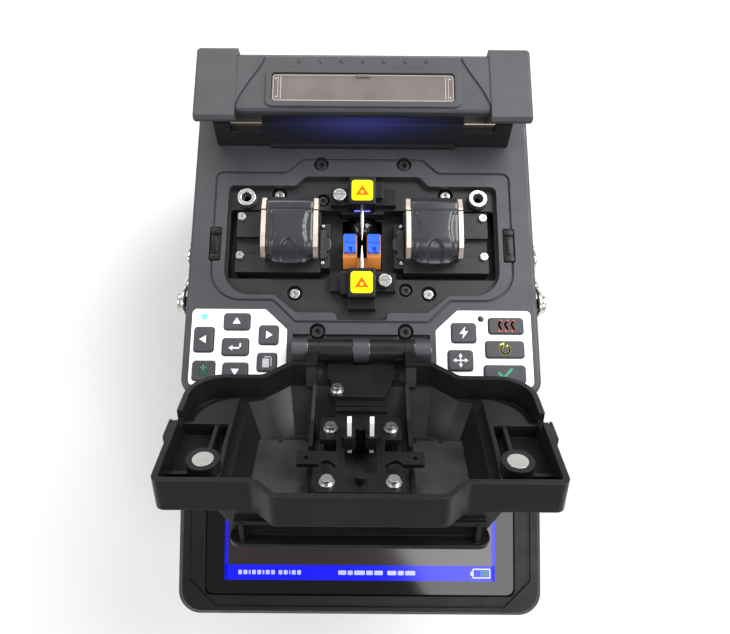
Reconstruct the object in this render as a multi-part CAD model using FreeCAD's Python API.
import FreeCAD, Part
import math
import os

# Fusion splicer. Millimetres, +X to the operator's right, +Y away from the operator, +Z up.
# Origin: mouth of the tripod thread, in the middle of the underside of the lower case.

# ---- Casing ----
body_w = 145.0            # casing width
body_d = 140.0            # casing depth
deck_z = 107.0            # height of the top deck above the underside
body_r = 7.0              # radius of the casing's upright corners
deck_edge_r = 1.6         # rounding of the deck's outer edge
wall = 2.5                # casing wall
floor_t = 3.0             # lower case floor
deck_t = 3.0              # deck plate
parting_z = 62.0          # height of the joint between lower case and top cover
reveal = 0.7              # line let into the casing along that joint
seam_gap = 0.15           # all clearances between seated, unmoving pieces
move_gap = 0.4            # clearance round pieces that move
run_gap = 0.05            # radial clearance of pins in their bores

# ---- Wind cover hinge ----
hinge_setback = 18.0      # hinge line behind the front face
hinge_rise = 3.0          # hinge axis above the deck
knuckle_r = 4.7
hinge_pin_r = 1.6
ear_x = (21.4, 27.6)      # outer body ears, either side
mid_knuckle_x = 3.1       # half width of the body's middle knuckle
arm_x = (17.0, 21.1)      # cover arms, either side
trench_clear = 0.5        # trench floor below the barrels

# ---- Wind cover ----
cover_open_deg = 133.0    # the cover is drawn closed, then turned open by this
cover_gap = 0.35          # rim above the deck when closed
cover_wall = 2.0
rim_h = 11.5              # height of the low, wide tier
roof_h = 25.0             # height of the roof above the rim
lip_half = 41.0           # finger lip along the free edge, half its width
magnet_r = 3.4
magnet_post_r = 5.3
magnet_t = 2.0
magnet_at = (49.4, 66.8)  # right-hand magnet: across, behind the hinge
magnet_air = 0.3          # air gap from magnet to keeper when closed
keeper_rise = 1.5         # top of the keeper ring above the deck
keeper_r = 3.9
keeper_bore_r = 2.2
keeper_boss_r = 4.2
bracket_rise = 11.6       # underside of the hinge bracket above the rim
bracket_t = 2.4
leaf_rise = 6.2           # underside of its hinge leaf above the rim
leaf_t = 2.2
leaf_back = 26.4          # end of that leaf behind the hinge
holder_rise = 6.6         # underside of the presser holders above the rim
liner_rise = 20.0         # step in the roof's underside above the rim

# ---- Stage (splicing area) ----
fibre_back = 46.5         # fibre line behind the hinge
fibre_rise = 1.0          # fibre axis above the deck
well_drop = 10.0          # depth of the carriage wells below the deck
pan_drop = 12.5           # underside of the pan below the deck
carriage_x = (13.6, 53.6)
carriage_drop = 2.5       # carriage top below the deck
carriage_screw_at = [(51.6, 59.0), (51.6, 41.6)]
feed_stroke = 4.0         # carriage travel towards the centre
clamp_x = (18.2, 41.6)    # sheath clamp, across
clamp_back = (38.0, 64.4)  # sheath clamp, front to back
clamp_rise = 1.6          # top of the clamp seat above the deck
lid_rise = 10.2           # top of the closed clamp lid
lid_pivot_rise = 5.0
lid_pin_r = 1.1
strip_w = 1.9             # steel edge strip of a clamp lid
groove_w = 3.4            # channel for a 3 mm jacket

# ---- Electrodes ----
electrode_x = 5.7         # half width of an electrode cover
electrode_rise = 6.0
rear_block_back = (61.8, 74.4)
front_block_back = (21.4, 34.0)
needle_r = 0.9
arc_gap = 2.2             # distance between the two needle tips
thumb_r = 2.8
thumb_across = 9.6        # thumbscrew from the needle line
vgroove_x = (2.1, 8.0)    # V-groove towers, either side of the needles
camera_lean = 38.0        # microscopes off upright

# ---- Keypad ----
panel_t = 1.2
panel_proud = 0.3
panel_in_x = 30.3         # inner edge of a panel
panel_margin = 3.2        # panel's outer edge to the casing side
panel_back = (-14.0, 17.5)
panel_chamfer_x = 9.0
panel_chamfer_y = 8.4
key_proud = 1.3
key_depth = 2.4
key_gap = 0.3

# ---- Sleeve heater ----
heater_back = 94.5        # front wall of the heater behind the hinge, at its top
heater_batter = 3.0       # how far that wall's foot stands ahead of its top
slot_back = 11.1          # middle of the trough behind that wall
heater_w = 126.0
heater_h = 13.0           # top of the fixed part above the deck
lid_h = 9.5               # heater lid height
lid_clear = 0.4
lid_undercut = 3.0        # foot of the lid's front wall set back from its top
cap_undercut = 5.0
lid_half = 52.0           # lid up to its end caps
wing_reach = 11.2         # how far an end cap laps over the lid at the back
wing_t = 0.7
cap_overhang = 3.4        # end caps stop short of the casing side by this
cap_edge_r = 1.2          # rounding of an end cap's outer edges
heater_pin_r = 1.5
heater_knuckle_r = 3.2
window_half = 37.5
window_d = 12.8
window_margin = 2.6       # raised frame round the window
window_t = 1.5
bead_pitch = 8.8          # grip beads behind the window
trough_half = 38.0
trough_w = 13.0
trough_bore = 7.0

# ---- Monitor ----
monitor_tilt = 10.8       # the monitor's slope down to the front
monitor_t = 12.0
monitor_front = 79.0      # front edge ahead of the hinge axis
monitor_rear = 4.3        # rear edge behind the hinge axis
monitor_axis_gap = 5.0    # hinge axis ahead of the casing's front face
monitor_axis_drop = 16.9  # hinge axis below the deck
monitor_knuckle_r = 4.4
monitor_pin_r = 1.5
monitor_knuckle_x = (30.0, 44.0)
monitor_corner_r = 9.0
glass_side = 11.0         # frame beside the glass
glass_front = 8.0         # frame ahead of the glass
glass_rear = 3.3
glass_t = 1.5
glass_drop = 1.0          # glass below the frame's face

# ---- Carrying strap ----
post_back = 26.0          # side posts behind the hinge
post_drop = 20.0          # side posts below the deck
boss_r = 6.2
boss_len = 2.8
post_r = 2.4
post_head_r = 4.2
post_len = 5.2
strap_sag = 28.0          # the strap hangs this far below level at rest
strap_w = 22.0
strap_t = 3.0
strap_stand = 0.5         # strap to rear face
hook_reach = 24.0         # post axis to the ring

# ---- Base ----
foot_r = 8.0
foot_h = 3.0
foot_inset = 16.0
thread_r = 2.55           # 1/4-20 UNC tapping hole
thread_len = 9.0
insert_r = 5.5
rib_inset = 20.0

# ---- Derived places ----
trench_drop = knuckle_r - hinge_rise + trench_clear
half_w = body_w / 2
half_d = body_d / 2
hinge_y = -half_d + hinge_setback
hinge_z = deck_z + hinge_rise
rim_z = deck_z + cover_gap
fibre_y = hinge_y + fibre_back
keeper_top = deck_z + keeper_rise
keeper_low = keeper_top - 2.5
magnet_z = keeper_top + magnet_air
pan_top = deck_z - deck_t
panel_out_x = half_w - panel_margin
heater_top = deck_z + heater_h
heater_axis_y = half_d - 1.0
heater_axis_z = heater_top - 1.0
monitor_y = -half_d - monitor_axis_gap
monitor_z = deck_z - monitor_axis_drop
post_y = hinge_y + post_back
post_z = deck_z - post_drop
boss_end = half_w + boss_len
strap_x = boss_end + post_len / 2


def vec(x, y, z):
    return FreeCAD.Vector(x, y, z)


def box(x, y, z):
    """Box from three (low, high) pairs."""
    return Part.makeBox(x[1] - x[0], y[1] - y[0], z[1] - z[0], vec(x[0], y[0], z[0]))


def rod(radius, start, end):
    """Round bar from one point to another."""
    run = vec(*end) - vec(*start)
    return Part.makeCylinder(radius, run.Length, vec(*start), run)


def upright(radius, x, y, z):
    return rod(radius, (x, y, z[0]), (x, y, z[1]))


def crosswise(radius, x, y, z):
    return rod(radius, (x[0], y, z), (x[1], y, z))


def outline(corners, z=0.0):
    """Closed wire at height z through (x, y, radius) corners."""
    ends = []
    edges = []
    count = len(corners)
    for i in range(count):
        here = vec(corners[i][0], corners[i][1], z)
        radius = corners[i][2]
        if radius <= 0:
            ends.append((here, here))
            continue
        before = vec(corners[i - 1][0], corners[i - 1][1], z)
        after = vec(corners[(i + 1) % count][0], corners[(i + 1) % count][1], z)
        to_before = (before - here).normalize()
        to_after = (after - here).normalize()
        half = to_before.getAngle(to_after) / 2
        first = here + to_before * (radius / math.tan(half))
        last = here + to_after * (radius / math.tan(half))
        middle = (to_before + to_after).normalize()
        crest = here + middle * (radius / math.sin(half) - radius)
        edges.append(Part.Arc(first, crest, last).toShape())
        ends.append((first, last))
    for i in range(count):
        start = ends[i - 1][1]
        end = ends[i][0]
        if start.distanceToPoint(end) > 1e-6:
            edges.append(Part.LineSegment(start, end).toShape())
    return Part.Wire(Part.__sortEdges__(edges))


def prism(corners, z):
    return Part.Face(outline(corners, z[0])).extrude(vec(0, 0, z[1] - z[0]))


def taper(low, low_z, high, high_z):
    """Solid between two outlines with the same corners."""
    return Part.makeLoft([outline(low, low_z), outline(high, high_z)], True, True)


def plate(x, y, z, radius):
    """Box with rounded upright corners."""
    corners = [(x[0], y[0]), (x[1], y[0]), (x[1], y[1]), (x[0], y[1])]
    return prism([(a, b, radius) for a, b in corners], z)


def profile(points, x):
    """Straight-edged outline of (y, z) points, drawn out along X."""
    wire = Part.makePolygon([vec(x[0], a, b) for a, b in points + points[:1]])
    return Part.Face(wire).extrude(vec(x[1] - x[0], 0, 0))


def inset(corners, by):
    """The same counter-clockwise outline, moved in by a distance."""
    moved = []
    count = len(corners)
    for i in range(count):
        ax, ay, _ = corners[i - 1]
        bx, by_, radius = corners[i]
        cx, cy, _ = corners[(i + 1) % count]
        l1 = math.hypot(bx - ax, by_ - ay)
        l2 = math.hypot(cx - bx, cy - by_)
        n1 = (-(by_ - ay) / l1, (bx - ax) / l1)
        n2 = (-(cy - by_) / l2, (cx - bx) / l2)
        share = 1 + n1[0] * n2[0] + n1[1] * n2[1]
        left_turn = (bx - ax) * (cy - by_) - (by_ - ay) * (cx - bx) > 0
        changed = radius - by if left_turn else radius + by
        moved.append((bx + by * (n1[0] + n2[0]) / share,
                      by_ + by * (n1[1] + n2[1]) / share,
                      max(changed, 0.0) if radius > 0 else 0.0))
    return moved


def symmetric(half):
    """Whole outline from its right half, given front to back behind the hinge."""
    right = [(x, hinge_y + y, r) for x, y, r in half]
    left = [(-x, y, r) for x, y, r in reversed(right)]
    return right + left


def mirrored(shape):
    return shape.mirror(vec(0, 0, 0), vec(1, 0, 0))


def pair(shape):
    return [shape, mirrored(shape)]


def join(shapes):
    return shapes[0].multiFuse(shapes[1:]).removeSplitter()


def rounded(shape, radius, wanted):
    """Fillet the edges that a test picks."""
    edges = [edge for edge in shape.Edges if wanted(edge)]
    return shape.makeFillet(radius, edges)


def at_height(z):
    return lambda edge: all(abs(v.Z - z) < 1e-4 for v in edge.Vertexes)


def turned(shape, y, z, degrees):
    """Turn about an axis along X."""
    copy = shape.copy()
    copy.rotate(vec(0, y, z), vec(1, 0, 0), degrees)
    return copy


def back(distance):
    """Y of a place given behind the cover hinge."""
    return hinge_y + distance


def backs(span):
    return (back(span[0]), back(span[1]))


def screw(x, y, top, head_r, head_h, shank_r, shank_len, hex_r):
    """Socket screw standing upright, its head's top at the given height."""
    head = upright(head_r, x, y, (top - head_h, top))
    head = rounded(head, head_h * 0.15, at_height(top))
    shank = upright(shank_r, x, y, (top - head_h - shank_len, top - head_h))
    hexagon = [(x + hex_r * math.cos(math.radians(60 * i)),
                y + hex_r * math.sin(math.radians(60 * i)), 0.0) for i in range(6)]
    socket = prism(hexagon, (top - head_h * 0.6, top + 1))
    return join([head, shank]).cut(socket)


# ---- Outlines shared by several pieces, right halves, behind the hinge ----
pan_half = [(10.5, 13.2, 1.5), (10.5, 16.4, 1.5), (27.2, 16.4, 3.0), (36.3, 23.9, 4.0),
            (57.5, 23.9, 11.0), (57.5, 72.7, 2.5), (28.6, 72.7, 3.0), (24.7, 77.1, 3.0)]
cover_half_x = half_w - 9.5
latch_x = (cover_half_x - 3.6, cover_half_x + 1.4)
cover_half = [(27.3, 12.4, 1.0), (36.5, 21.5, 3.0), (cover_half_x, 21.5, 13.0),
              (cover_half_x, 78.7, 3.0), (32.6, 78.7, 4.0), (26.0, 85.0, 4.0)]
pan_outline = symmetric(pan_half)
cover_outline = symmetric(cover_half)
panel_outline = [(panel_in_x, back(panel_back[0]), 1.0), (panel_out_x, back(panel_back[0]), 2.0),
                 (panel_out_x, back(panel_back[1]), 2.0),
                 (panel_in_x + panel_chamfer_x, back(panel_back[1]), 1.5),
                 (panel_in_x, back(panel_back[1] - panel_chamfer_y), 1.5)]

# Keys: across, behind the hinge, width, depth. Outer keys follow the panel's outer edge.
keys = {
    "left_arrow_key": (-panel_out_x + 5.4, 4.6, 7.8, 10.2),
    "power_key": (-panel_out_x + 6.0, -8.2, 8.8, 7.8),
    "up_arrow_key": (-50.8, 12.1, 10.4, 6.8),
    "enter_key": (-51.0, 1.6, 10.6, 7.0),
    "down_arrow_key": (-50.6, -8.4, 10.0, 6.8),
    "right_arrow_key": (-37.7, 6.6, 7.6, 7.8),
    "menu_key": (-38.0, -4.6, 7.6, 7.4),
    "arc_key": (41.6, 8.0, 9.8, 8.0),
    "axis_key": (40.0, -3.4, 9.8, 8.2),
    "heat_key": (panel_out_x - 10.4, 11.0, 14.0, 6.5),
    "reset_key": (panel_out_x - 11.2, 1.2, 15.4, 6.7),
    "set_key": (panel_out_x - 11.6, -8.8, 16.4, 6.8),
}
lamp_hole_r = 1.3
lamp_holes = [(-panel_out_x + 5.0, 14.2), (48.8, 14.0)]
deck_boss_r = 4.6
frame_leg_r = 3.5
frame_leg_at = [(52.0, 14.0), (52.0, 78.0)]
deck_screw_at = [(18.0, 8.6), (18.0, 83.2)]
pan_screw_at = [(28.0, 25.4), (36.0, 70.0)]
stop_screw_at = [(-17.0, 67.3), (18.4, 27.0)]


def key_corners(spec, grow):
    x, y, w, d = spec
    w = w / 2 + grow
    d = d / 2 + grow
    r = 1.1 + grow
    y = back(y)
    return [(x - w, y - d, r), (x + w, y - d, r), (x + w, y + d, r), (x - w, y + d, r)]


# ---- Casing ----
def top_cover():
    shell = plate((-half_w, half_w), (-half_d, half_d), (parting_z, deck_z), body_r)
    shell = rounded(shell, deck_edge_r, at_height(deck_z))
    hollow = plate((-half_w + wall, half_w - wall), (-half_d + wall, half_d - wall),
                   (parting_z - 1, deck_z - deck_t), body_r - wall)
    shell = shell.cut(hollow)
    pads = [box((-ear_x[1] - 2, ear_x[1] + 2), backs((-9.0, 8.0)), (deck_z - 6, pan_top))]
    for x, y in deck_screw_at:
        pads += pair(upright(deck_boss_r, x, back(y), (deck_z - 8, pan_top)))
    web_z = (deck_z - deck_t, hinge_z)
    knuckles = [crosswise(knuckle_r, (-mid_knuckle_x, mid_knuckle_x), hinge_y, hinge_z),
                box((-mid_knuckle_x, mid_knuckle_x), backs((-3.6, 3.6)), web_z)]
    knuckles += pair(crosswise(knuckle_r, ear_x, hinge_y, hinge_z))
    knuckles += pair(box(ear_x, backs((-3.6, 3.6)), web_z))
    trench = box((-ear_x[1] - 0.4, ear_x[1] + 0.4), backs((-6.8, 7.2)), (deck_z - trench_drop, deck_z + 1))
    cuts = [prism(pan_outline, (deck_z - deck_t - 1, deck_z + 1))]
    groove = prism(inset(cover_outline, -0.5), (deck_z - 0.9, deck_z + 1))
    cuts.append(groove.cut(prism(inset(cover_outline, 0.5), (deck_z - 2, deck_z + 2))))
    cuts += pair(plate(latch_x, (fibre_y - 8.0, fibre_y + 7.0), (deck_z - 2.0, deck_z + 1), 0.8))
    for panel in pair(prism(inset(panel_outline, -seam_gap), (deck_z - panel_t + panel_proud, deck_z + 1))):
        cuts.append(panel)
    for spec in keys.values():
        cuts.append(prism(key_corners(spec, key_gap), (deck_z - deck_t - 1, deck_z + 1)))
    for x, y in deck_screw_at:
        cuts += pair(upright(3.25, x, back(y), (deck_z - 4.2, deck_z + 1)))
        cuts += pair(upright(1.6, x, back(y), (deck_z - 9, deck_z)))
    shell = join([shell.fuse(pads).cut([trench] + cuts)] + knuckles)
    shell = shell.cut(crosswise(hinge_pin_r, (-ear_x[1] + 1, ear_x[1] + 2), hinge_y, hinge_z))
    for x in (pair_span(monitor_knuckle_x[1] + move_gap, 8.0), pair_span(monitor_knuckle_x[0] - 8.4, 8.0)):
        lug = crosswise(monitor_knuckle_r, x, monitor_y, monitor_z)
        web = box(x, (monitor_y, -half_d + 1), (monitor_z - monitor_knuckle_r, monitor_z))
        shell = shell.fuse(pair(lug.fuse(web)))
    bores = pair(crosswise(monitor_pin_r, (monitor_knuckle_x[0] - 7, monitor_knuckle_x[1] + 7),
                           monitor_y, monitor_z))
    side_bores = pair(crosswise(post_r, (half_w - wall - 1, half_w + 1), post_y, post_z))
    return shell.cut(bores + side_bores).removeSplitter()


def pair_span(low, width):
    return (low, low + width)


def lower_case():
    shell = plate((-half_w, half_w), (-half_d, half_d), (0, parting_z), body_r)
    shell = rounded(shell, 2.0, at_height(0))
    hollow = plate((-half_w + wall, half_w - wall), (-half_d + wall, half_d - wall),
                   (floor_t, parting_z + 1), body_r - wall)
    shell = shell.cut(hollow)
    boss = upright(insert_r + 2.5, 0, 0, (0, thread_len + 3))
    bore = upright(insert_r, 0, 0, (-1, thread_len + 1))
    inlet = box((-half_w - 1, -half_w + wall + 1), (10, 24), (30, 39))
    usb = box((-half_w - 1, -half_w + wall + 1), (30.0, 43.0), (31.0, 37.0))
    line_z = (parting_z - reveal, parting_z + 1)
    line = plate((-half_w - 1, half_w + 1), (-half_d - 1, half_d + 1), line_z, body_r + 1)
    line = line.cut(plate((-half_w + reveal, half_w - reveal), (-half_d + reveal, half_d - reveal),
                          (parting_z - 2, parting_z + 2), body_r - reveal))
    ribs = [box((-half_w + wall, half_w - wall), (y, y + 2.0), (floor_t, floor_t + 6))
            for y in (-half_d + rib_inset, half_d - rib_inset - 2.0)]
    return join([shell, boss] + ribs).cut([bore, inlet, usb, line])


def tripod_insert():
    body = upright(insert_r, 0, 0, (0, thread_len + 1))
    return body.cut(upright(thread_r, 0, 0, (-1, thread_len)))


def rubber_feet():
    x = half_w - foot_inset
    y = half_d - foot_inset
    feet = []
    for a, b in ((x, y), (-x, y), (x, -y), (-x, -y)):
        foot = upright(foot_r, a, b, (-foot_h, 0))
        feet.append(rounded(foot, 0.8, at_height(-foot_h)))
    return feet


def stage_pan():
    pan = prism(inset(pan_outline, -2.5), (deck_z - pan_drop, pan_top))
    floor = deck_z - well_drop
    wells = pair(plate((9.0, 56.6), backs((31.5, 62.6)), (floor, deck_z), 1.5))
    middle = box((-10.0, 10.0), backs((35.2, 61.0)), (floor, deck_z))
    sight = box((-8.6, 8.6), backs((36.0, 60.6)), (deck_z - pan_drop - 1, deck_z))
    slots = pair(box((21.0 - feed_stroke - move_gap, 27.0 + move_gap), backs((49.6, 56.4)),
                     (deck_z - pan_drop - 1, deck_z)))
    cuts = wells + [middle, sight] + slots
    for x, y in pan_screw_at:
        cuts += pair(upright(3.3, x, back(y), (pan_top - 3.0, deck_z)))
        cuts += pair(upright(1.3, x, back(y), (pan_top - 7.0, deck_z)))
    for x, y in stop_screw_at:
        cuts.append(upright(2.9, x, back(y), (pan_top - 3.0, deck_z)))
        cuts.append(upright(1.3, x, back(y), (pan_top - 7.0, deck_z)))
    cuts += camera_modules(move_gap)
    for x, y in deck_screw_at:
        cuts += pair(upright(deck_boss_r + seam_gap, x, back(y), (deck_z - pan_drop - 1, deck_z)))
    x, y = magnet_at
    bosses = pair(upright(keeper_boss_r, x, back(y), (pan_top - 1, keeper_low)))
    holes = pair(upright(1.3, x, back(y), (keeper_low - 7, keeper_low + 1)))
    return join([pan.cut(cuts)] + bosses).cut(holes)


def keeper_rings():
    x, y = magnet_at
    z = (keeper_low, keeper_top)
    ring = upright(keeper_r, x, back(y), z).cut(upright(keeper_bore_r, x, back(y), (z[0] - 1, z[1] + 1)))
    return pair(rounded(ring, 0.3, at_height(z[1])))


def chassis_frame():
    z = (deck_z - 48, deck_z - 45)
    top = deck_z - pan_drop
    deck = plate((-58, 58), backs((6.0, 84.0)), z, 3.0)
    posts = []
    for x, y in ((50.0, 26.0), (50.0, 69.0)):
        posts += pair(upright(3.5, x, back(y), (z[1], top)))
    feet = []
    for x, y in frame_leg_at:
        feet += pair(upright(frame_leg_r, x, back(y), (floor_t, z[0])))
    window = plate((-16, 16), backs((24.0, 66.0)), (z[0] - 1, z[1] + 1), 2.0)
    return join([deck.cut(window)] + posts + feet)


def battery_pack():
    return rounded(box((-44, 44), (-34, -34 + 66), (floor_t + 10.5, floor_t + 40.5)), 2.0, lambda e: True)


def main_board():
    z = 50.0
    board = box((-60, 60), (-54, 34), (z, z + 1.6))
    parts = [box((-8, 10), (-40, -22), (z + 1.6, z + 4.2)), box((24, 46), (-36, -14), (z + 1.6, z + 5.0)),
             box((-48, -26), (-44, -30), (z + 1.6, z + 6.0)), box((-46, -20), (4, 22), (z + 1.6, z + 5.5)),
             box((24, 45), (2, 24), (z + 1.6, z + 8.0))]
    holes = []
    for x, y in frame_leg_at:
        holes += pair(upright(frame_leg_r + 0.5, x, back(y), (z - 1, z + 9)))
    return join([board] + parts).cut(holes)


def keypad_panels():
    z = (deck_z - panel_t + panel_proud, deck_z + panel_proud)
    panels = pair(prism(panel_outline, z))
    holes = [prism(key_corners(spec, key_gap), (z[0] - 1, z[1] + 1)) for spec in keys.values()]
    holes += [upright(lamp_hole_r, x, back(y), (z[0] - 1, z[1] + 1)) for x, y in lamp_holes]
    return [panel.cut(holes) for panel in panels]


def key(spec):
    cap = prism(key_corners(spec, 0.0), (deck_z - key_depth, deck_z + key_proud))
    return rounded(cap, 0.5, at_height(deck_z + key_proud))


# ---- Screws ----
def deck_screws():
    screws = [screw(side, back(y), deck_z - 1.2, 2.6, 3.0, 1.4, 4.0, 1.3)
              for x, y in deck_screw_at for side in (x, -x)]
    screws += [screw(x, back(y), pan_top - 0.6, 2.1, 2.2, 1.1, 3.5, 1.0) for x, y in stop_screw_at]
    return screws


def pan_screws():
    return [screw(side, back(y), pan_top - 0.4, 2.1, 2.4, 1.1, 3.5, 1.0)
            for x, y in pan_screw_at for side in (x, -x)]


def hinge_pins():
    cover = crosswise(hinge_pin_r, (-ear_x[1] + 1, ear_x[1] + 0.4), hinge_y, hinge_z)
    heater = crosswise(heater_pin_r, (-lid_half + 6, lid_half - 6), heater_axis_y, heater_axis_z)
    monitor = pair(crosswise(monitor_pin_r, (monitor_knuckle_x[0] - 7, monitor_knuckle_x[1] + 7),
                             monitor_y, monitor_z))
    return [cover, heater] + monitor


# ---- Electrodes and V-groove ----
def electrode_blocks():
    z = (pan_top, deck_z + electrode_rise)
    rear = plate((-electrode_x, electrode_x), backs(rear_block_back), z, 0.8)
    rear = rounded(rear, 0.7, at_height(z[1]))
    rear_foot = box((-13.4, 14.4), backs((63.6, 70.8)), (pan_top, deck_z + 0.6))
    rear_arm = box((0.0, 8.8), backs((66.0, 73.4)), (pan_top, deck_z + 3.0))
    front = plate((-electrode_x, electrode_x), backs(front_block_back), z, 0.8)
    front = rounded(front, 0.7, at_height(z[1]))
    front_foot = box((-13.4, 14.0), backs((25.4, 33.4)), (pan_top, deck_z + 0.6))
    front_arm = box((-8.8, 0.0), backs((23.6, 31.0)), (pan_top, deck_z + 3.0))
    toe = box((-electrode_x, electrode_x), backs((17.6, 22.0)), (pan_top, deck_z + 1.6))
    blocks = [join([rear, rear_foot, rear_arm]), join([front, front_foot, front_arm, toe])]
    clear = [upright(1.5 + run_gap, -thumb_across, back(67.2), (pan_top - 1, deck_z + 2)),
             upright(1.5 + run_gap, thumb_across, back(29.4), (pan_top - 1, deck_z + 2))]
    needle_z = deck_z + fibre_rise
    bores = [rod(needle_r, (0, back(60.0), needle_z), (0, back(71.0), needle_z)),
             rod(needle_r, (0, back(24.0), needle_z), (0, back(35.0), needle_z))]
    return [block.cut(clear + bores) for block in blocks]


def electrodes():
    z = deck_z + fibre_rise
    needles = []
    for root, end, way in ((71.0, fibre_back + arc_gap / 2, -1), (24.0, fibre_back - arc_gap / 2, 1)):
        shank_end = end - way * 7.0
        shank = rod(needle_r, (0, back(root), z), (0, back(shank_end), z))
        point = Part.makeCone(needle_r, 0.12, 7.0, vec(0, back(shank_end), z), vec(0, way, 0))
        needles.append(join([shank, point]))
    return needles


def thumbscrew(x, y):
    head_z = deck_z + 1.0
    head = upright(thumb_r, x, y, (head_z, head_z + 2.8))
    head = rounded(head, 0.4, at_height(head_z + 2.8))
    slot = box((x - thumb_r, x + thumb_r), (y - 0.35, y + 0.35), (head_z + 1.9, head_z + 4))
    shank = upright(1.5, x, y, (pan_top + 0.3, head_z))
    return join([head.cut(slot), shank])


def vgroove_block():
    z = (deck_z - well_drop, deck_z - 1.0)
    base = box((-vgroove_x[1], vgroove_x[1]), backs((36.6, 42.0)), (z[0], deck_z - 5.5))
    towers = pair(box(vgroove_x, backs((36.6, 50.6)), (deck_z - 7.5, z[1])))
    ramp = pair(profile([(back(36.0), deck_z - 5.0), (back(36.0), deck_z), (back(41.6), deck_z)], (2.0, 9.0)))
    legs = pair(box((vgroove_x[0] + 0.5, vgroove_x[1]), backs((36.6, 42.0)), (z[0] - 2.4, z[0])))
    return join([base] + towers + legs).cut(ramp)


def fibre_platforms():
    z = (deck_z - 1.0, deck_z + fibre_rise)
    pads = []
    pad = box((2.5, 7.6), backs((42.4, 50.4)), z)
    groove = profile([(fibre_y - 0.4, z[1] + 0.1), (fibre_y, z[1] - 0.4), (fibre_y + 0.4, z[1] + 0.1)],
                     (2, 8))
    slot = box((4.2, 5.8), backs((42.0, 44.6)), (z[0] + 0.8, z[1] + 1))
    pads = pair(pad.cut([groove, slot]))
    return pads


def camera_modules(grow=0.0):
    """Two microscopes that look up at the splice, one from behind and one from in front."""
    modules = []
    aim = vec(0, fibre_y, deck_z + fibre_rise)
    for way, distance, radius, length in ((1, 11.0, 7.0, 12.0), (-1, 18.0, 3.5, 12.0)):
        lean = vec(0, way * math.sin(math.radians(camera_lean)), -math.cos(math.radians(camera_lean)))
        middle = aim + lean * (distance + radius)
        ball = Part.makeSphere(radius + grow, middle)
        barrel = Part.makeCylinder(radius + grow, length + grow, middle, lean)
        modules.append(join([ball, barrel]))
    return modules


# ---- Feed carriages and sheath clamps, drawn for the right-hand side ----
def carriage():
    top = deck_z - carriage_drop
    low = deck_z - well_drop + 0.4
    block = box((clamp_x[0] - 0.6, carriage_x[1]), backs((34.4, 61.6)), (low, top))
    nose = box((carriage_x[0], clamp_x[0]), backs((36.4, 56.2)), (low, top))
    seat = box((clamp_x[0] + 0.6, clamp_x[1] - 0.6), backs((clamp_back[0] + 1.6, 58.6)),
               (top, deck_z + clamp_rise))
    ears = []
    for x in ((clamp_x[0] + 3.4, clamp_x[0] + 6.0), (clamp_x[1] - 6.0, clamp_x[1] - 3.4)):
        ears.append(box(x, backs((60.0, 63.4)), (top - 0.3, deck_z + lid_pivot_rise)))
        ears.append(crosswise(1.7, x, back(61.7), deck_z + lid_pivot_rise))
    leg = box((21.0, 27.0), backs((50.0, 56.0)), (deck_z - 28, low))
    arm = box((21.0, 27.0), backs((43.0, 56.0)), (deck_z - 28, deck_z - 16))
    channel = box((carriage_x[0] - 1, carriage_x[1] + 1),
                  (fibre_y - groove_w / 2, fibre_y + groove_w / 2), (deck_z - 0.6, deck_z + 3))
    shelf = box((clamp_x[1] - 0.6, carriage_x[1] + 1), (fibre_y - 4.5, fibre_y + 3.5), (deck_z - 5.0, deck_z))
    pins = [upright(0.9, x, back(y), (top - 4, top + 1)) for x, y in carriage_screw_at]
    nut = crosswise(2.0, (20.0, 28.0), fibre_y, deck_z - 22)
    pin_bore = crosswise(lid_pin_r, clamp_x, back(61.7), deck_z + lid_pivot_rise)
    return join([block, nose, seat, leg, arm] + ears).cut([channel, shelf, nut, pin_bore] + pins)


def clamp_lid():
    x = (clamp_x[0] + strip_w, clamp_x[1] - strip_w)
    y0 = back(clamp_back[0])
    y1 = back(clamp_back[1])
    low = deck_z + clamp_rise + 0.4
    top = deck_z + lid_rise
    outer = profile([(y0 - 1.6, low), (y0 - 1.6, low + 2.0), (y0 + 3.0, top - 0.8), (y0 + 9.0, top),
                     (y1 - 5.0, top), (y1, top - 2.4), (y1, low + 1.4), (y1 - 1.6, low)], x)
    hollow = box((x[0] + 1.0, x[1] - 1.0), (back(59.0), y1 + 1), (low - 1, deck_z + lid_pivot_rise + 2.2))
    tongue = crosswise(2.1, (clamp_x[0] + 6.4, clamp_x[1] - 6.4), back(61.7), deck_z + lid_pivot_rise)
    web = box((clamp_x[0] + 6.4, clamp_x[1] - 6.4), backs((58.0, 61.7)),
              (deck_z + lid_pivot_rise - 1.2, deck_z + lid_pivot_rise + 2.1))
    jaw = box((x[0] + 1, x[1] - 1), (fibre_y - 1.2, fibre_y + 1.2), (low - 0.2, low + 1))
    body = join([outer.cut(hollow), tongue, web, jaw])
    return body.cut(crosswise(lid_pin_r + run_gap, clamp_x, back(61.7), deck_z + lid_pivot_rise))


def clamp_strips():
    y0 = back(clamp_back[0]) + 0.4
    y1 = back(clamp_back[1]) - 0.6
    low = deck_z + clamp_rise + 1.2
    top = deck_z + lid_rise - 1.0
    points = [(y0, low), (y0, low + 2.4), (y0 + 3.4, top - 0.6), (y0 + 9.0, top), (y1 - 5.0, top),
              (y1, top - 2.0), (y1, low + 0.6)]
    strips = []
    for x in ((clamp_x[0], clamp_x[0] + strip_w), (clamp_x[1] - strip_w, clamp_x[1])):
        bore = crosswise(lid_pin_r + run_gap, clamp_x, back(61.7), deck_z + lid_pivot_rise)
        strips.append(profile(points, x).cut(bore))
    return strips


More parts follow.
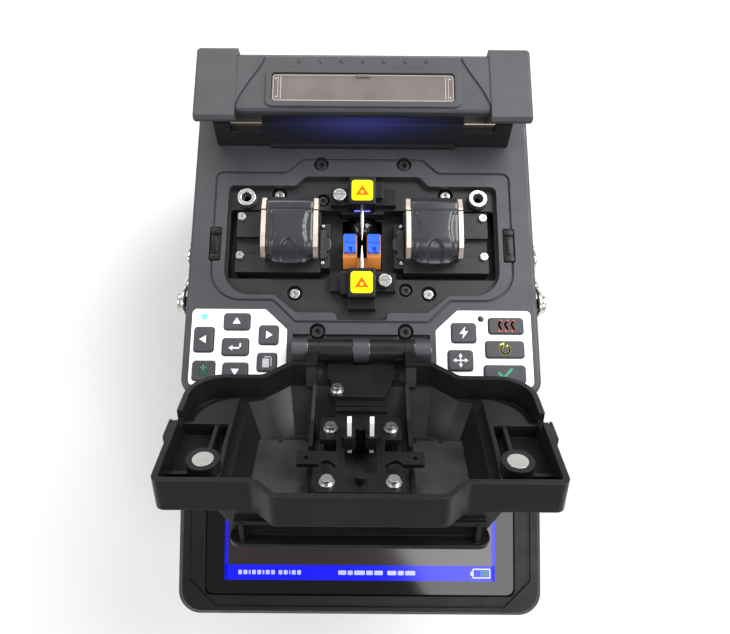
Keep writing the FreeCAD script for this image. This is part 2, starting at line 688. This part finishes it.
def carriage_hardware():
    top = deck_z - carriage_drop
    screws = [screw(x, back(y), top + 1.2, 1.7, 1.2, 0.9, 3.6, 0.8) for x, y in carriage_screw_at]
    pin = crosswise(lid_pin_r, (clamp_x[0] + 0.2, clamp_x[1] - 0.2), back(61.7), deck_z + lid_pivot_rise)
    return screws + [pin]


def feed_plunger():
    rod_part = crosswise(2.0, (20.0, 34.0), fibre_y, deck_z - 22)
    tail = crosswise(1.2, (34.0, 47.0), fibre_y, deck_z - 22)
    return join([rod_part, tail])


def feed_motors():
    can = crosswise(7.0, (40.0, 56.0), fibre_y, deck_z - 22)
    bore = crosswise(1.2 + run_gap, (39.0, 51.0), fibre_y, deck_z - 22)
    return pair(can.cut(bore))


# ---- Sleeve heater ----
def heater_housing():
    y = (back(heater_back), half_d - 2.4)
    shell = profile([(y[0] - heater_batter, deck_z), (y[0] - heater_batter, deck_z + 2.0), (y[0], heater_top),
                     (y[1], heater_top), (y[1], deck_z)], (-heater_w / 2, heater_w / 2))
    slot_y = heater_slot()
    slot = box((-heater_w, heater_w), slot_y, (heater_top - 3.5, heater_top + 1))
    nest = box((-trough_half - seam_gap, trough_half + seam_gap), slot_y, (deck_z + 2.5, heater_top + 1))
    seats = pair(box((42.4 - seam_gap, 56.0), (y[0] - 1, slot_y[1]), (heater_top - 5.5, heater_top + 1)))
    knuckles = []
    for x in heater_body_knuckles():
        knuckles.append(crosswise(heater_knuckle_r, x, heater_axis_y, heater_axis_z))
        knuckles.append(box(x, (heater_axis_y - 5, heater_axis_y), (heater_axis_z - 3.2, heater_axis_z)))
    reliefs = []
    for x in heater_lid_knuckles():
        grown = (x[0] - move_gap, x[1] + move_gap)
        reliefs.append(crosswise(heater_knuckle_r + move_gap, grown, heater_axis_y, heater_axis_z))
        reliefs.append(box(grown, (heater_axis_y - 5.5, half_d), (heater_axis_z, heater_top + 1)))
    step = box((-40, 40), (y[0] - heater_batter - 1.2, y[0]), (deck_z, deck_z + 2.0))
    body = join([shell.cut([slot, nest] + seats + reliefs), step] + knuckles)
    return body.cut(crosswise(heater_pin_r, (-lid_half + 6, lid_half - 6), heater_axis_y, heater_axis_z))


def heater_slot():
    middle = back(heater_back) + slot_back
    return (middle - trough_w / 2 - seam_gap, middle + trough_w / 2 + seam_gap)


def heater_body_knuckles():
    return [(-lid_half + 6, -lid_half + 14), (lid_half - 14, lid_half - 6), (-5.0, 5.0)]


def heater_lid_knuckles():
    return [(-lid_half + 14.4, -lid_half + 24), (lid_half - 24, lid_half - 14.4)]


def heater_trough():
    slot = heater_slot()
    y = (slot[0] + seam_gap, slot[1] - seam_gap)
    middle = sum(y) / 2
    block = box((-trough_half, trough_half), y, (deck_z + 2.5 + seam_gap, heater_top - 0.6))
    bore = trough_bore / 2
    channel = box((-trough_half - 1, trough_half + 1), (middle - bore, middle + bore),
                  (deck_z + 2.5 + 3.5, heater_top))
    return block.cut(channel)


def heater_clamps():
    slot = heater_slot()
    middle = sum(slot) / 2
    z = (heater_top - 5.5, heater_top)
    block = box((42.4, 55.8), (back(heater_back) + 0.6, slot[1] - seam_gap), z)
    notch = box((40, 58), (middle - 2.5, middle + 2.5), (heater_top - 3.5, heater_top + 1))
    return pair(rounded(block.cut(notch), 0.4, at_height(heater_top)))


def heater_lid():
    y = (back(heater_back) + 0.2, half_d + 1.0)
    low = heater_top + lid_clear
    top = low + lid_h
    slab = profile([(y[0] + lid_undercut, low), (y[0], top - 2.4), (y[0] + 0.4, top - 0.8), (y[0] + 1.4, top),
                    (y[1] - 3.0, top), (y[1], top - 3.0), (y[1], low)], (-lid_half, lid_half))
    hollow = box((-lid_half + 2, lid_half - 2), (y[0] + lid_undercut + 1.6, y[1] - 9), (low - 1, top - 3.4))
    frame = plate((-window_half - window_margin, window_half + window_margin), window_span(window_margin),
                  (top - 1, top + 0.8), 3.2)
    frame = rounded(frame, 0.5, at_height(top + 0.8))
    opening = plate((-window_half - seam_gap, window_half + seam_gap), window_span(seam_gap),
                    (low, top + 2), 1.6)
    knuckles = []
    for x in heater_lid_knuckles():
        knuckles.append(crosswise(heater_knuckle_r, x, heater_axis_y, heater_axis_z))
        knuckles.append(box(x, (heater_axis_y - 3, heater_axis_y + 1.0), (heater_axis_z, low + 1)))
    relief = []
    for x in heater_body_knuckles():
        grown = (x[0] - move_gap, x[1] + move_gap)
        relief.append(crosswise(heater_knuckle_r + move_gap, grown, heater_axis_y, heater_axis_z))
    ledge = plate((-window_half - 1.2, window_half + 1.2), window_span(1.2), (top - 3.4, top - 1.6), 2.0)
    lip = plate((-window_half + 1.0, window_half - 1.0), window_span(-1.0), (low - 1, top + 2), 1.0)
    beads = [Part.makeSphere(1.2, vec(bead_pitch * i, y[1] - 5.0, top - 0.6)) for i in range(-3, 4)]
    body = join([slab.cut([hollow]), frame] + beads).cut(opening)
    body = join([body, ledge.cut(lip)] + knuckles).cut(relief)
    bore = crosswise(heater_pin_r + run_gap, (-lid_half + 5, lid_half - 5), heater_axis_y, heater_axis_z)
    return body.cut(bore)


def window_span(grow):
    middle = sum(heater_slot()) / 2
    return (middle - window_d / 2 - grow, middle + window_d / 2 + grow)


def heater_window():
    top = heater_top + lid_clear + lid_h
    sheet = plate((-window_half, window_half), window_span(0.0), (top - 1.6, top - 1.6 + window_t), 1.5)
    tab = box((-2.6, 2.6), (window_span(0.0)[1] - 1.6, window_span(0.0)[1] - 0.4), (top - 1, top + 0.6))
    return join([sheet, tab])


def heater_end_caps():
    low = heater_top + lid_clear
    top = low + lid_h + 1.2
    y = (back(heater_back) - 3.6, half_d + 2.5)
    x = (lid_half + seam_gap, half_w - cap_overhang)
    cap = profile([(y[0] + cap_undercut, low - 0.2), (y[0], top - 3.0), (y[0], top - 1.4), (y[0] + 1.4, top),
                   (y[1] - 2.0, top), (y[1], top - 2.0), (y[1], low + 3.0), (y[1] - 3.4, low - 0.2)], x)
    cap = rounded(cap, cap_edge_r, lambda edge: all(abs(v.X - x[1]) < 1e-4 for v in edge.Vertexes))
    front = vec(x[0] + 0.2, back(heater_back) + 1.9, low + lid_h)
    rear = vec(lid_half - wing_reach, half_d - 2.2, low + lid_h)
    sweep = Part.BezierCurve()
    sweep.setPoles([front, front + vec(-2.0, 9.0, 0), rear + vec(1.5, -6.0, 0), rear])
    corners = [rear, vec(front.x, rear.y, rear.z), front]
    edges = [sweep.toShape()] + [Part.makeLine(a, b) for a, b in zip(corners, corners[1:])]
    wing = Part.Face(Part.Wire(edges)).extrude(vec(0, 0, wing_t))
    return pair(join([cap, wing]))


# ---- Wind cover, drawn closed ----
roof_low = [(28.0, 13.4, 0.0), (37.0, 22.6, 0.0), (43.5, 24.6, 0.0), (43.5, 78.4, 0.0)]
roof_high = [(25.0, 27.0, 0.0), (32.0, 29.4, 0.0), (38.0, 33.0, 0.0), (38.0, 76.4, 0.0)]


def cover_tiers(by):
    """Solid of the cover's outer form, moved in by a wall."""
    low = symmetric(roof_low)
    high = symmetric(roof_high)
    base_z = rim_z - 1 if by > 0 else rim_z
    rim = prism(inset(cover_outline, by), (base_z, rim_z + rim_h - by))
    start = rim_z + rim_h - by - 0.01
    roof = taper(inset(low, by), start, inset(high, by), rim_z + roof_h - by)
    return rim.fuse(roof)


def wind_cover():
    shell = cover_tiers(0.0).cut(cover_tiers(cover_wall)).removeSplitter()
    arms = pair(crosswise(knuckle_r, arm_x, hinge_y, hinge_z))
    arms += pair(profile([(back(0), hinge_z - 2.4), (back(14.0), hinge_z - 2.4), (back(17.0), hinge_z + 6.0),
                          (back(12.5), hinge_z + 6.0), (back(1.0), hinge_z + knuckle_r - 0.4)], arm_x))
    posts = pair(upright(magnet_post_r, magnet_at[0], back(magnet_at[1]),
                         (magnet_z, rim_z + rim_h - 1)))
    mouths = pair(box((cover_half_x - 4, cover_half_x + 1), (fibre_y - 2.6, fibre_y + 2.6),
                      (rim_z - 1, rim_z + 3.4)))
    tunnel = profile([(back(14.0), rim_z + 7.0), (back(32.0), rim_z + 12.5), (back(45.0), rim_z + 14.0),
                      (back(46.0), rim_z + 17.0), (back(77.0), rim_z + 17.0), (back(77.0), rim_z + roof_h),
                      (back(14.0), rim_z + roof_h)], (arm_x[0] - 0.1, arm_x[0] + 1.4))
    side_x = (roof_low[2][0] + 0.4, roof_low[2][0] + 1.8)
    side_wall = profile([(back(30.0), rim_z + 4.5), (back(58.0), rim_z + 4.5), (back(77.5), rim_z + 8.0),
                         (back(77.5), rim_z + rim_h), (back(30.0), rim_z + rim_h)], side_x)
    pad = upright(14.0, side_x[0], back(44.5), (rim_z + 4.5, rim_z + rim_h))
    pad = pad.common(box((side_x[0], side_x[0] + 14), backs((30.0, 44.5)), (rim_z, rim_z + rim_h)))
    cross = box((side_x[0], cover_half_x - 1), backs((44.0, 45.4)), (rim_z + 4.5, rim_z + rim_h))
    inner_walls = [wall_part.common(cover_tiers(0.0)) for wall_part in (tunnel, side_wall, pad, cross)]
    dividers = []
    for inner_wall in inner_walls:
        dividers += pair(inner_wall)
    web_x = (magnet_at[0] - 0.7, magnet_at[0] + 0.7)
    web = pair(box((magnet_at[0] + 3, cover_half_x - 1), backs((68.4, 69.8)),
                   (rim_z + 5.0, rim_z + rim_h - 1)))
    web += pair(box(web_x, backs((44.0, magnet_at[1] - 3)), (rim_z + 5.0, rim_z + rim_h - 1)))
    web += [box((-37.6, 37.6), backs((34.6, 77.0)), (rim_z + liner_rise, rim_z + roof_h - 1))]
    clips = pair(plate((cover_half_x - 1.0, cover_half_x + 1.8), backs((47.0, 57.0)),
                       (rim_z + 1.2, rim_z + rim_h - 1.5), 0.8))
    lip = [plate((-lip_half, lip_half), backs((72.0, 81.0)), (rim_z + roof_h - 1.5, rim_z + roof_h), 4.0),
           box((-lip_half + 2, lip_half - 2), backs((74.0, 79.4)), (rim_z + 15.4, rim_z + 16.8))]
    lip += pair(box((lip_half - 5.0, lip_half - 3.6), backs((74.0, 80.0)),
                    (rim_z + 16.0, rim_z + roof_h - 1)))
    stub_z = (rim_z + bracket_rise + bracket_t, rim_z + roof_h - 1)
    stubs = [upright(2.6, x, back(y), stub_z) for x, y in bracket_screw_at()]
    body = join([shell] + lip + clips + arms + posts + dividers + web + stubs)
    throat = box((-arm_x[0] - 0.01, arm_x[0] + 0.01), backs((11.0, 15.4)), (rim_z - 1, rim_z + 8.8))
    seats = pair(upright(magnet_r, magnet_at[0], back(magnet_at[1]), (magnet_z - 1, magnet_z + magnet_t)))
    bore = crosswise(hinge_pin_r + run_gap, (-ear_x[0], ear_x[0]), hinge_y, hinge_z)
    holes = [upright(0.9, x, back(y), (stub_z[0] - 1, stub_z[0] + 3)) for x, y in bracket_screw_at()]
    notches = pair(box((19.0, 20.4), backs((34.0, 36.0)), (rim_z + liner_rise - 1, rim_z + liner_rise + 2)))
    notches += pair(box((28.6, 30.0), backs((34.0, 36.0)), (rim_z + liner_rise - 1, rim_z + liner_rise + 2)))
    body = body.cut(notches + [throat, bore] + seats + mouths + holes)
    return [turned(body, hinge_y, hinge_z, cover_open_deg)]


def bracket_screw_at():
    return [(-10.8, 38.9), (10.8, 38.9), (-10.8, 66.3), (10.8, 66.3)]


def leaf_screw_at():
    return (-8.9, 22.8)


def cover_bracket():
    z = (rim_z + bracket_rise, rim_z + bracket_rise + bracket_t)
    sheet = [plate((-14.6, 14.6), backs((32.0, 44.4)), z, 1.2),
             plate((-14.6, 14.6), backs((61.4, 70.4)), z, 1.2)]
    sheet += pair(box((5.4, 8.4), backs((43.0, 63.0)), z))
    leaf_z = (rim_z + leaf_rise, rim_z + leaf_rise + leaf_t)
    leaf_half = [(13.2, 2.0, 0.0), (13.2, 13.9, 1.2), (11.4, 15.9, 1.2), (11.4, 20.0, 0.0),
                 (8.7, leaf_back, 0.0)]
    leaf = prism(symmetric(leaf_half), leaf_z)
    tab = upright(3.4, leaf_screw_at()[0], back(leaf_screw_at()[1]), leaf_z)
    treads = [box((-9.4, 9.4), backs((leaf_back - 2.5, 33.0)), (leaf_z[1] - 0.4, z[1]))]
    notches = [box((-9.5, 9.5), backs((leaf_back, 40.0)), (rim_z, rim_z + 8.6)),
               box((-9.5, 9.5), backs((leaf_back + 2.0, 40.0)), (rim_z, rim_z + 9.6)),
               box((-9.5, 9.5), backs((leaf_back + 4.0, 40.0)), (rim_z, rim_z + bracket_rise))]
    barrels = pair(crosswise(knuckle_r, (mid_knuckle_x + 0.3, arm_x[0] - 0.1), hinge_y, hinge_z))
    gap_x = (-mid_knuckle_x - 0.3, mid_knuckle_x + 0.3)
    leaf = leaf.cut([box(gap_x, backs((-1.0, 5.2)), (hinge_z - 6, hinge_z + 6)),
                     crosswise(knuckle_r + move_gap, gap_x, hinge_y, hinge_z)])
    holder_z = (rim_z + holder_rise, z[0] + 0.1)
    holders = pair(prism([(1.6, back(39.4), 0.4), (6.6, back(39.4), 0.4), (6.6, back(48.4), 0.0),
                          (5.4, back(50.0), 0.0), (2.6, back(50.0), 0.0), (1.6, back(48.4), 0.0)], holder_z))
    bridge = box((-5.4, 5.4), backs((43.0, 45.0)), z)
    knob = upright(1.7, 0, back(43.6), (rim_z + holder_rise, z[1]))
    slots = pair(box(presser_x(seam_gap), presser_y(seam_gap), (deck_z + 5, z[1] + 1.0)))
    lamp = upright(1.8, 0, back(66.0), (rim_z + 8.4, z[0] + 0.1))
    ears = pair(plate((7.0, 21.6), backs((51.2, 57.6)), (z[0] - 0.4, z[0] + 1.2), 1.0))
    holes = [upright(1.0, x, back(y), (z[0] - 1, z[1] + 1)) for x, y in bracket_screw_at()]
    holes.append(upright(1.0, leaf_screw_at()[0], back(leaf_screw_at()[1]), (leaf_z[0] - 1, leaf_z[1] + 1)))
    holes += pair(upright(0.9, 18.4, back(54.4), (z[0] - 2, z[1] + 1)))
    holes += pair(upright(2.6, 11.6, back(58.2), (z[0] - 2, z[1] + 1)))
    bore = crosswise(hinge_pin_r + run_gap, (-ear_x[0], ear_x[0]), hinge_y, hinge_z)
    steps = join(treads).cut(notches)
    body = join(sheet + [leaf, tab, steps, bridge, knob, lamp] + holders + barrels + ears)
    return [turned(body.cut([bore] + slots + holes), hinge_y, hinge_z, cover_open_deg)]


def presser_x(grow):
    return (3.1 - grow, 4.6 + grow)


def presser_y(grow):
    return (back(45.2) - grow, back(48.8) + grow)


def presser():
    return box(presser_x(0.0), presser_y(0.0),
               (deck_z + fibre_rise + 0.35, rim_z + bracket_rise + bracket_t))


def cover_magnets():
    magnets = pair(upright(magnet_r, magnet_at[0], back(magnet_at[1]), (magnet_z, magnet_z + magnet_t)))
    return [turned(m, hinge_y, hinge_z, cover_open_deg) for m in magnets]


def cover_screws():
    places = [(x, back(y), rim_z + bracket_rise, 5.0) for x, y in bracket_screw_at()]
    places.append((leaf_screw_at()[0], back(leaf_screw_at()[1]), rim_z + leaf_rise, leaf_t))
    screws = []
    for x, y, seat, reach in places:
        washer = upright(2.6, x, y, (seat - 0.6, seat))
        head = upright(1.9, x, y, (seat - 2.2, seat - 0.6))
        shank = upright(0.9, x, y, (seat, seat + reach))
        screws.append(turned(join([washer, head, shank]), hinge_y, hinge_z, cover_open_deg))
    return screws


# ---- Monitor, drawn level, hinge axis at its rear lower edge ----
def monitor_outline(front, rear, side, radius):
    return [(-side, monitor_y - front, radius), (side, monitor_y - front, radius),
            (side, monitor_y + rear, 2.5), (-side, monitor_y + rear, 2.5)]


def monitor_groove():
    """Line pressed into the frame's face, cutting across its front corners."""
    side = half_w - 4.6
    front = monitor_y - monitor_front + 3.6
    rear = monitor_y + monitor_rear - 3.0
    cut = monitor_corner_r + 1.5
    return [(-side + cut, front, 1.0), (side - cut, front, 1.0), (side, front + cut, 1.0), (side, rear, 1.0),
            (-side, rear, 1.0), (-side, front + cut, 1.0)]


def monitor_frame():
    z = (monitor_z, monitor_z + monitor_t)
    low = monitor_outline(monitor_front - 3.0, monitor_rear, half_w - 3.0, monitor_corner_r - 2.0)
    full = monitor_outline(monitor_front, monitor_rear, half_w, monitor_corner_r)
    face = monitor_outline(monitor_front - 2.0, monitor_rear, half_w - 2.0, monitor_corner_r - 1.0)
    body = join([taper(low, z[0], full, z[0] + 3.5), prism(full, (z[0] + 3.5, z[1] - 2.5)),
                 taper(full, z[1] - 2.5, face, z[1])])
    glass_z = z[1] - glass_drop
    seat = prism(glass_outline(-seam_gap), (glass_z - glass_t, z[1] + 1))
    pocket = prism(glass_outline(2.5), (z[0] + 2.0, z[1]))
    groove = prism(monitor_groove(), (z[1] - 0.6, z[1] + 1))
    groove = groove.cut(prism(inset(monitor_groove(), 0.9), (z[1] - 2, z[1] + 2)))
    cuts = [seat, pocket, groove]
    span = (monitor_knuckle_x[0] - 9.2, monitor_knuckle_x[1] + 9.2)
    cuts += pair(box(span, (monitor_y - 6.0, monitor_y + 9), (z[0] - 1, z[0] + 5.4)))
    body = body.cut(cuts)
    knuckle = crosswise(monitor_knuckle_r, monitor_knuckle_x, monitor_y, monitor_z)
    web = profile([(monitor_y - 7.0, monitor_z), (monitor_y, monitor_z - 2.0),
                   (monitor_y + 3.0, monitor_z), (monitor_y + 3.0, monitor_z + 6.0),
                   (monitor_y - 7.0, monitor_z + 6.0)], monitor_knuckle_x)
    body = join([body] + pair(knuckle.fuse(web)))
    bore = pair(crosswise(monitor_pin_r + run_gap, (monitor_knuckle_x[0] - 1, monitor_knuckle_x[1] + 1),
                          monitor_y, monitor_z))
    return [turned(body.cut(bore), monitor_y, monitor_z, monitor_tilt)]


def glass_outline(by):
    side = half_w - glass_side - by
    front = monitor_y - monitor_front + glass_front + by
    rear = monitor_y + monitor_rear - glass_rear - by
    return [(-side, front, 3.0), (side, front, 3.0), (side, rear, 1.0), (-side, rear, 1.0)]


def monitor_glass():
    top = monitor_z + monitor_t - glass_drop
    sheet = prism(glass_outline(0.0), (top - glass_t, top))
    return [turned(sheet, monitor_y, monitor_z, monitor_tilt)]


# ---- Carrying strap, drawn level behind its posts ----
def strap_radius():
    sag = math.radians(strap_sag)
    gap = half_d + strap_stand - post_y
    return (gap + strap_w / 2 * math.sin(sag)) / math.cos(sag) + strap_t


def strap_posts():
    x = (half_w, boss_end)
    boss = crosswise(boss_r, x, post_y, post_z)
    stem = crosswise(post_r, (half_w - wall, boss_end + post_len), post_y, post_z)
    head = crosswise(post_head_r, (boss_end + post_len - 1.6, boss_end + post_len), post_y, post_z)
    return pair(join([boss, stem, head]))


def carry_strap():
    reach = post_y + strap_radius()
    start = post_y + hook_reach + 4.0
    outer_x = strap_x + strap_t / 2
    r = 14.0
    outer = [(-outer_x, start, 0.0), (-outer_x, reach, r), (outer_x, reach, r), (outer_x, start, 0.0),
             (outer_x - strap_t, start, 0.0), (outer_x - strap_t, reach - strap_t, r - strap_t),
             (-outer_x + strap_t, reach - strap_t, r - strap_t), (-outer_x + strap_t, start, 0.0)]
    band = prism(outer, (post_z - strap_w / 2, post_z + strap_w / 2))
    return [turned(band, post_y, post_z, -strap_sag)]


def snap_hooks():
    pieces = []
    eye = rod(post_r + run_gap + 2.4, (strap_x - 0.9, post_y, post_z), (strap_x + 0.7, post_y, post_z))
    shank = rod(1.6, (strap_x, post_y + 4.6, post_z), (strap_x, post_y + 15.0, post_z))
    collar = rod(2.6, (strap_x, post_y + 13.0, post_z), (strap_x, post_y + 17.0, post_z))
    hook = join([eye, shank, collar])
    hook = hook.cut(crosswise(post_r + run_gap, (strap_x - 3, strap_x + 3), post_y, post_z))
    side = 10.5
    bar = 1.1
    ring = plate((strap_x - bar, strap_x + bar), (post_y + 16.0, post_y + hook_reach + 3.8),
                 (post_z - side, post_z + side), 0.0)
    hole = plate((strap_x - 3, strap_x + 3), (post_y + 18.2, post_y + hook_reach + 1.6),
                 (post_z - side + 2.2, post_z + side - 2.2), 0.0)
    loop = join([hook, ring.cut(hole)])
    for shape in pair(loop):
        pieces.append(turned(shape, post_y, post_z, -strap_sag))
    return pieces


# ---- Write the pieces ----
nodes = {
    "top_cover": [top_cover()],
    "lower_case": [lower_case()],
    "tripod_insert": [tripod_insert()],
    "rubber_feet": rubber_feet(),
    "stage_pan": [stage_pan()],
    "keeper_rings": keeper_rings(),
    "chassis_frame": [chassis_frame()],
    "battery_pack": [battery_pack()],
    "main_board": [main_board()],
    "keypad_panels": keypad_panels(),
    "deck_screws": deck_screws(),
    "pan_screws": pan_screws(),
    "hinge_pins": hinge_pins(),
    "electrode_blocks": electrode_blocks(),
    "electrodes": electrodes(),
    "rear_electrode_screw": [thumbscrew(-thumb_across, back(67.2))],
    "front_electrode_screw": [thumbscrew(thumb_across, back(29.4))],
    "vgroove_block": [vgroove_block()],
    "fibre_platforms": fibre_platforms(),
    "camera_modules": camera_modules(),
    "feed_motors": feed_motors(),
    "right_carriage": [carriage()],
    "right_clamp_lid": [clamp_lid()],
    "right_clamp_strips": clamp_strips(),
    "right_carriage_hardware": carriage_hardware(),
    "right_feed_plunger": [feed_plunger()],
    "heater_housing": [heater_housing()],
    "heater_trough": [heater_trough()],
    "heater_clamps": heater_clamps(),
    "heater_lid": [heater_lid()],
    "heater_window": [heater_window()],
    "heater_end_caps": heater_end_caps(),
    "wind_cover": wind_cover(),
    "cover_bracket": cover_bracket(),
    "cover_magnets": cover_magnets(),
    "cover_screws": cover_screws(),
    "right_presser": [turned(presser(), hinge_y, hinge_z, cover_open_deg)],
    "left_presser": [turned(mirrored(presser()), hinge_y, hinge_z, cover_open_deg)],
    "monitor_frame": monitor_frame(),
    "monitor_glass": monitor_glass(),
    "strap_posts": strap_posts(),
    "carry_strap": carry_strap(),
    "snap_hooks": snap_hooks(),
}
for piece in ("carriage", "clamp_lid", "clamp_strips", "carriage_hardware", "feed_plunger"):
    nodes["left_" + piece] = [mirrored(shape) for shape in nodes["right_" + piece]]
for name, spec in keys.items():
    nodes[name] = [key(spec)]

os.makedirs("parts", exist_ok=True)
for name, shapes in nodes.items():
    whole = shapes[0] if len(shapes) == 1 else Part.makeCompound(shapes)
    if not whole.isValid():
        print("not valid:", name)
    solids = whole.Solids
    print(name, len(solids), "solids, volume", round(whole.Volume, 1))
    whole.exportStep("parts/" + name + ".step")
print(len(nodes), "nodes")
